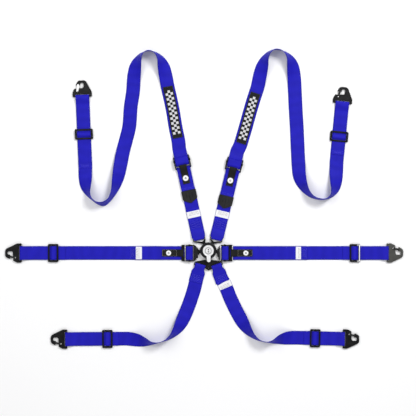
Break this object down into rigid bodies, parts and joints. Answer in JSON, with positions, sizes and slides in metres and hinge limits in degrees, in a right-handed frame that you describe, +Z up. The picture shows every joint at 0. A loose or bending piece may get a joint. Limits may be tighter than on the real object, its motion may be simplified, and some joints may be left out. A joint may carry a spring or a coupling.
{
  "type": "racing harness",
  "caption": "Racing harness laid out flat: round rotary-release buckle with shoulder, lap and crotch webbing straps, pull-up adjusters, three-bar sliders and spring-gate hooks.",
  "frame": {"origin": "centre of the buckle's back face, on the surface that the harness lies on", "axes": "+X towards the right lap strap, +Y towards the shoulder straps, +Z up from the surface, out of the buckle's knob"},
  "size_m": [1.45, 1.0919, 0.05],
  "materials": {
    "webbing_blue": "woven polyester, royal blue, satin",
    "webbing_black": "woven black webbing, matte",
    "plastic_black": "semi-gloss black",
    "steel_black": "satin black coated steel",
    "steel": "polished bright steel"
  },
  "bodies": {
    "root": {"buckle_back_plate": "steel_black", "buckle_housing": "plastic_black", "buckle_spindle": "steel", "buckle_spring": "steel", "lap_left_adjuster": "steel_black", "lap_left_strap": "webbing_blue", "lap_left_release_tab": "webbing_black"},
    "knob": {"buckle_knob": "steel", "buckle_knob_cap": "plastic_black"},
    "lock_plate": {"buckle_lock_plate": "steel"},
    "lap_right": {"lap_right_adjuster": "steel_black", "lap_right_strap": "webbing_blue", "lap_right_release_tab": "webbing_black"},
    "crotch": {"crotch_bracket": "steel_black", "crotch_left_strap": "webbing_blue", "crotch_right_strap": "webbing_blue"},
    "shoulder_left": {"shoulder_left_tongue": "steel_black", "shoulder_left_lower_strap": "webbing_blue", "shoulder_left_adjuster": "steel_black", "shoulder_left_upper_strap": "webbing_blue", "shoulder_left_release_tab": "webbing_black", "shoulder_left_pull_tab": "plastic_black", "shoulder_left_patch": "webbing_black"},
    "shoulder_right": {"shoulder_right_tongue": "steel_black", "shoulder_right_lower_strap": "webbing_blue", "shoulder_right_adjuster": "steel_black", "shoulder_right_upper_strap": "webbing_blue", "shoulder_right_release_tab": "webbing_black", "shoulder_right_pull_tab": "plastic_black", "shoulder_right_patch": "webbing_black"},
    "lap_left_lock_bar": {"lap_left_lock_bar": "steel"},
    "lap_right_lock_bar": {"lap_right_lock_bar": "steel"},
    "shoulder_left_lock_bar": {"shoulder_left_lock_bar": "steel"},
    "shoulder_right_lock_bar": {"shoulder_right_lock_bar": "steel"},
    "lap_left_slider": {"lap_left_slider": "steel_black", "lap_left_slider_webbing": "webbing_blue"},
    "lap_left_hook": {"lap_left_hook": "steel_black"},
    "lap_left_gate": {"lap_left_gate": "steel"},
    "lap_right_slider": {"lap_right_slider": "steel_black", "lap_right_slider_webbing": "webbing_blue"},
    "lap_right_hook": {"lap_right_hook": "steel_black"},
    "lap_right_gate": {"lap_right_gate": "steel"},
    "crotch_left_slider": {"crotch_left_slider": "steel_black", "crotch_left_slider_webbing": "webbing_blue"},
    "crotch_left_hook": {"crotch_left_hook": "steel_black"},
    "crotch_left_gate": {"crotch_left_gate": "steel"},
    "crotch_right_slider": {"crotch_right_slider": "steel_black", "crotch_right_slider_webbing": "webbing_blue"},
    "crotch_right_hook": {"crotch_right_hook": "steel_black"},
    "crotch_right_gate": {"crotch_right_gate": "steel"},
    "shoulder_left_slider": {"shoulder_left_slider": "steel_black", "shoulder_left_slider_webbing": "webbing_blue"},
    "shoulder_left_hook": {"shoulder_left_hook": "steel_black"},
    "shoulder_left_gate": {"shoulder_left_gate": "steel"},
    "shoulder_right_slider": {"shoulder_right_slider": "steel_black", "shoulder_right_slider_webbing": "webbing_blue"},
    "shoulder_right_hook": {"shoulder_right_hook": "steel_black"},
    "shoulder_right_gate": {"shoulder_right_gate": "steel"}
  },
  "joints": [
    {"name": "knob_turn", "type": "hinge", "parent": "root", "child": "knob", "pos_m": [0, 0, 0.0171], "axis": [0, 0, 1], "range_deg": [0, 60], "stiffness_Nm_per_rad": 0.15},
    {"name": "lock_plate_lift", "type": "slide", "parent": "root", "child": "lock_plate", "axis": [0, 0, 1], "range_m": [0, 0.003]},
    {"name": "lap_right_release", "type": "slide", "parent": "root", "child": "lap_right", "axis": [0.9893, -0.146, 0], "range_m": [0, 0.03]},
    {"name": "shoulder_left_release", "type": "slide", "parent": "root", "child": "shoulder_left", "axis": [-0.5, 0.866, 0], "range_m": [0, 0.03]},
    {"name": "shoulder_right_release", "type": "slide", "parent": "root", "child": "shoulder_right", "axis": [0.5, 0.866, 0], "range_m": [0, 0.03]},
    {"name": "crotch_release", "type": "slide", "parent": "root", "child": "crotch", "axis": [0, -1, 0], "range_m": [0, 0.03]},
    {"name": "lap_left_lock_bar_slide", "type": "slide", "parent": "root", "child": "lap_left_lock_bar", "axis": [-1, 0, 0], "range_m": [0, 0.004]},
    {"name": "lap_right_lock_bar_slide", "type": "slide", "parent": "lap_right", "child": "lap_right_lock_bar", "axis": [1, 0, 0], "range_m": [0, 0.004]},
    {"name": "shoulder_left_lock_bar_slide", "type": "slide", "parent": "shoulder_left", "child": "shoulder_left_lock_bar", "axis": [-0.2151, 0.9766, 0], "range_m": [0, 0.004]},
    {"name": "shoulder_right_lock_bar_slide", "type": "slide", "parent": "shoulder_right", "child": "shoulder_right_lock_bar", "axis": [0.232, 0.9727, 0], "range_m": [0, 0.004]},
    {"name": "lap_left_slider_slide", "type": "slide", "parent": "root", "child": "lap_left_slider", "axis": [-1, 0, 0], "range_m": [-0.15, 0.055]},
    {"name": "lap_left_hook_swing", "type": "hinge", "parent": "root", "child": "lap_left_hook", "pos_m": [-0.6825, -0.009, 0.00522], "axis": [0, 1, 0], "range_deg": [0, 70]},
    {"name": "lap_left_gate_swing", "type": "hinge", "parent": "lap_left_hook", "child": "lap_left_gate", "pos_m": [-0.7025, -0.026, 0.00672], "axis": [0, 0, -1], "range_deg": [0, 25], "stiffness_Nm_per_rad": 0.01, "springref_deg": -2.86},
    {"name": "lap_right_slider_slide", "type": "slide", "parent": "lap_right", "child": "lap_right_slider", "axis": [1, 0, 0], "range_m": [-0.15, 0.055]},
    {"name": "lap_right_hook_swing", "type": "hinge", "parent": "lap_right", "child": "lap_right_hook", "pos_m": [0.6525, -0.009, 0.00522], "axis": [0, -1, 0], "range_deg": [0, 70]},
    {"name": "lap_right_gate_swing", "type": "hinge", "parent": "lap_right_hook", "child": "lap_right_gate", "pos_m": [0.6725, 0.008, 0.00672], "axis": [0, 0, -1], "range_deg": [0, 25], "stiffness_Nm_per_rad": 0.01, "springref_deg": -2.86},
    {"name": "crotch_left_slider_slide", "type": "slide", "parent": "crotch", "child": "crotch_left_slider", "axis": [-1, -0.0068, 0], "range_m": [-0.045, 0.035]},
    {"name": "crotch_left_hook_swing", "type": "hinge", "parent": "crotch", "child": "crotch_left_hook", "pos_m": [-0.5165, -0.323, 0.00522], "axis": [-0.0068, 1, 0], "range_deg": [0, 70]},
    {"name": "crotch_left_gate_swing", "type": "hinge", "parent": "crotch_left_hook", "child": "crotch_left_gate", "pos_m": [-0.53638, -0.34014, 0.00672], "axis": [0, 0, -1], "range_deg": [0, 25], "stiffness_Nm_per_rad": 0.01, "springref_deg": -2.86},
    {"name": "crotch_right_slider_slide", "type": "slide", "parent": "crotch", "child": "crotch_right_slider", "axis": [0.9997, -0.0232, 0], "range_m": [-0.045, 0.035]},
    {"name": "crotch_right_hook_swing", "type": "hinge", "parent": "crotch", "child": "crotch_right_hook", "pos_m": [0.4925, -0.322, 0.00522], "axis": [-0.0232, -0.9997, 0], "range_deg": [0, 70]},
    {"name": "crotch_right_gate_swing", "type": "hinge", "parent": "crotch_right_hook", "child": "crotch_right_gate", "pos_m": [0.51289, -0.30547, 0.00672], "axis": [0, 0, -1], "range_deg": [0, 25], "stiffness_Nm_per_rad": 0.01, "springref_deg": -2.86},
    {"name": "shoulder_left_slider_slide", "type": "slide", "parent": "shoulder_left", "child": "shoulder_left_slider", "axis": [-0.0415, 0.9991, 0], "range_m": [-0.075, 0.055]},
    {"name": "shoulder_left_hook_swing", "type": "hinge", "parent": "shoulder_left", "child": "shoulder_left_hook", "pos_m": [-0.459, 0.5625, 0.00522], "axis": [0.9991, 0.0415, 0], "range_deg": [0, 70]},
    {"name": "shoulder_left_gate_swing", "type": "hinge", "parent": "shoulder_left_hook", "child": "shoulder_left_gate", "pos_m": [-0.47682, 0.58178, 0.00672], "axis": [0, 0, -1], "range_deg": [0, 25], "stiffness_Nm_per_rad": 0.01, "springref_deg": -2.86},
    {"name": "shoulder_right_slider_slide", "type": "slide", "parent": "shoulder_right", "child": "shoulder_right_slider", "axis": [0.0956, 0.9954, 0], "range_m": [-0.075, 0.055]},
    {"name": "shoulder_right_hook_swing", "type": "hinge", "parent": "shoulder_right", "child": "shoulder_right_hook", "pos_m": [0.4885, 0.5385, 0.00522], "axis": [0.9954, -0.0956, 0], "range_deg": [0, 70]},
    {"name": "shoulder_right_gate_swing", "type": "hinge", "parent": "shoulder_right_hook", "child": "shoulder_right_gate", "pos_m": [0.47349, 0.56003, 0.00672], "axis": [0, 0, -1], "range_deg": [0, 25], "stiffness_Nm_per_rad": 0.01, "springref_deg": -2.86}
  ],
  "couplings": [
    {"joint": "lock_plate_lift", "follows": "knob_turn", "m_per_rad": 0.00286}
  ]
}
